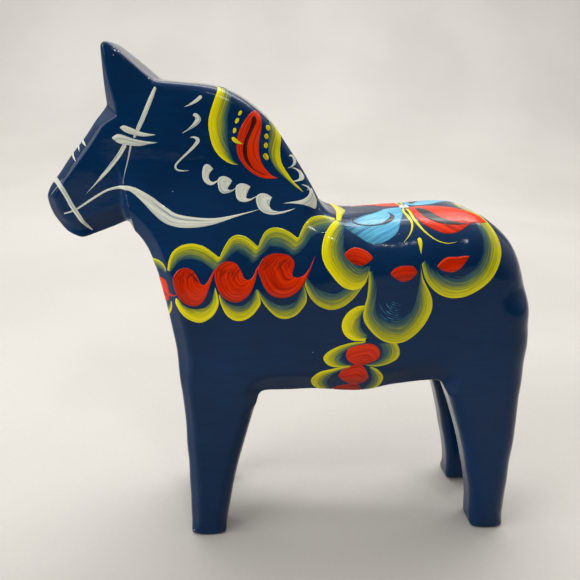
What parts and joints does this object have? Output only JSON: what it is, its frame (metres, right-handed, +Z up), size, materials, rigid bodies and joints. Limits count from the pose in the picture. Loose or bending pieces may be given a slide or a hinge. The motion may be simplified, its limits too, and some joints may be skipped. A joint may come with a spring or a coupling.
{
  "type": "dala horse",
  "caption": "Carved and painted wooden horse figure on four straight legs, built up from glued boards, with brush-painted harness and flower pattern.",
  "frame": {"origin": "on the ground under the middle of the horse", "axes": "+Z up, -X towards the nose, -Y towards the horse's left side"},
  "size_m": [0.2886, 0.082, 0.3],
  "materials": {
    "lacquered_pine": "high gloss navy lacquer over pine",
    "yellow_paint": "glossy brushed oil paint",
    "red_paint": "glossy brushed oil paint",
    "cream_paint": "glossy brushed oil paint",
    "light_blue_paint": "glossy brushed oil paint",
    "dark_paint": "glossy brushed oil paint"
  },
  "bodies": {
    "root": {"left_front_board": "lacquered_pine", "left_middle_board": "lacquered_pine", "left_rear_board": "lacquered_pine", "core_front_board": "lacquered_pine", "core_middle_board": "lacquered_pine", "core_rear_board": "lacquered_pine", "right_front_board": "lacquered_pine", "right_middle_board": "lacquered_pine", "right_rear_board": "lacquered_pine"}
  },
  "joints": []
}
